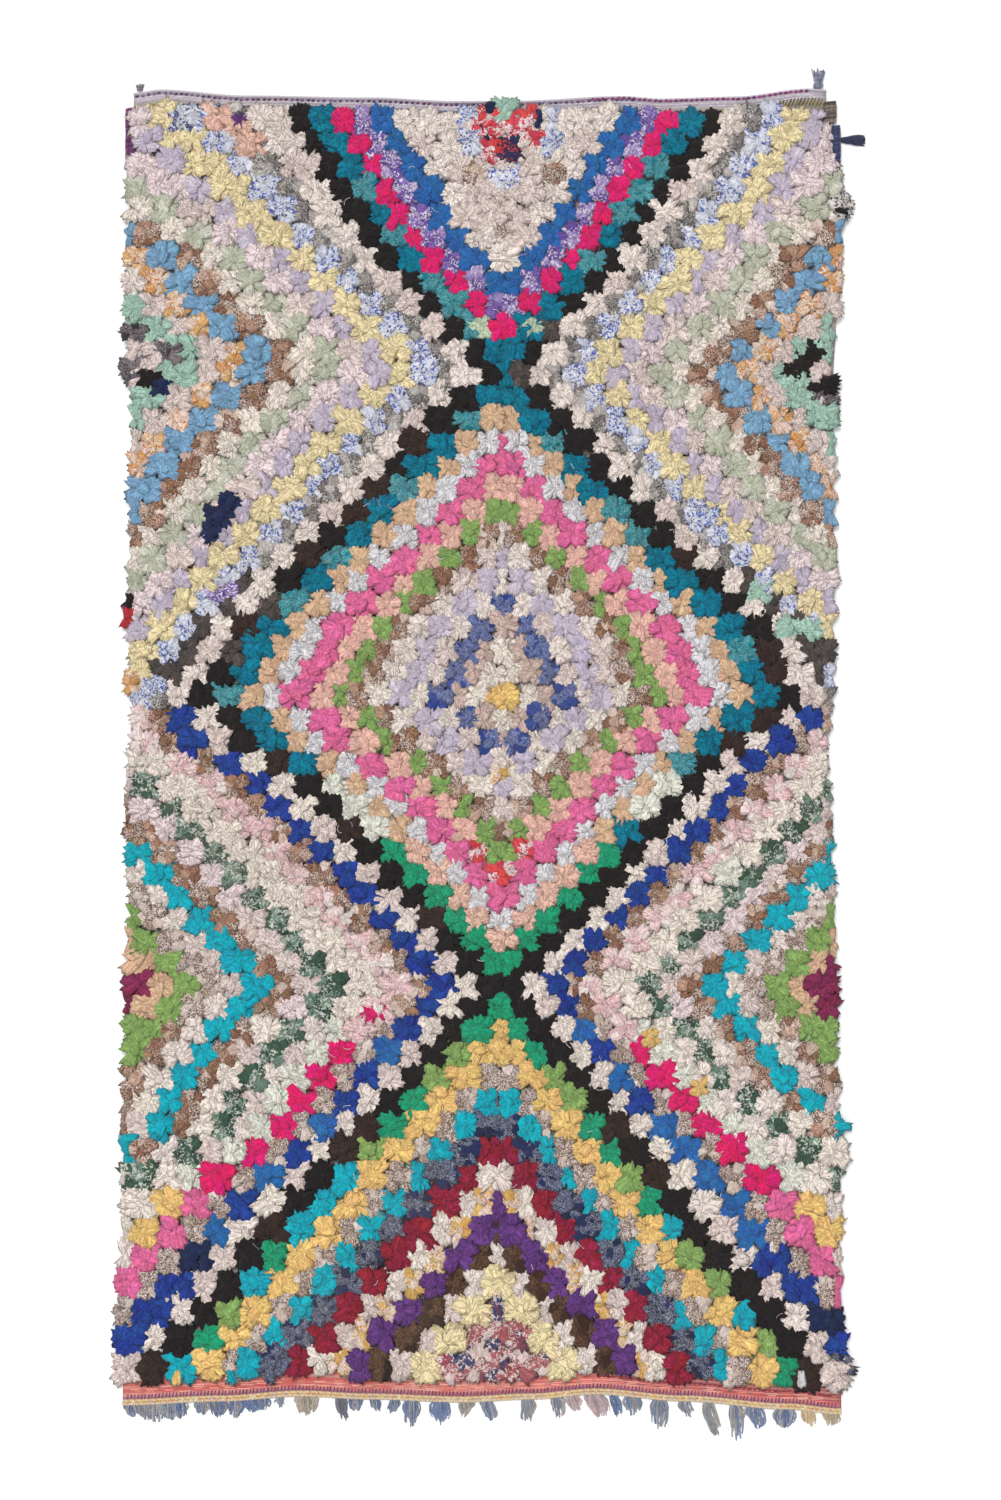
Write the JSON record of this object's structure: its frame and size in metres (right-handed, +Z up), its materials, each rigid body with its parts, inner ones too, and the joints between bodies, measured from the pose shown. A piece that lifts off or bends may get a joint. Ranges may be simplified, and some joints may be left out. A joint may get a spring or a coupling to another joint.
{
  "type": "boucherouite rug",
  "caption": "Rag-pile rug that lies flat on a floor: lumpy knotted rag pile in stepped lozenges, flat-woven ends and a yarn fringe along one end.",
  "frame": {"origin": "on the floor under the middle of the footprint", "axes": "+Z up out of the pile, X across the rug, +Y along the rug towards the plain woven end without a fringe"},
  "size_m": [1.5057, 2.7487, 0.0289],
  "materials": {
    "pile_rags": "crumpled cotton rag knots, matte",
    "yarn_fringe": "wool and cotton yarn, matte",
    "purple_yarn": "overcast wool yarn, matte",
    "taupe_yarn": "overcast wool yarn, matte",
    "navy_rag": "twisted cotton rag, matte",
    "grey_yarn": "wool yarn, matte"
  },
  "bodies": {
    "root": {"rug_cloth": "pile_rags", "fringe_edge": "yarn_fringe", "wrap_purple": "purple_yarn", "wrap_taupe": "taupe_yarn", "wrap_navy": "navy_rag", "wrap_grey": "grey_yarn", "rag_tail": "navy_rag", "corner_tassel": "grey_yarn", "corner_tuft": "grey_yarn"}
  },
  "joints": []
}
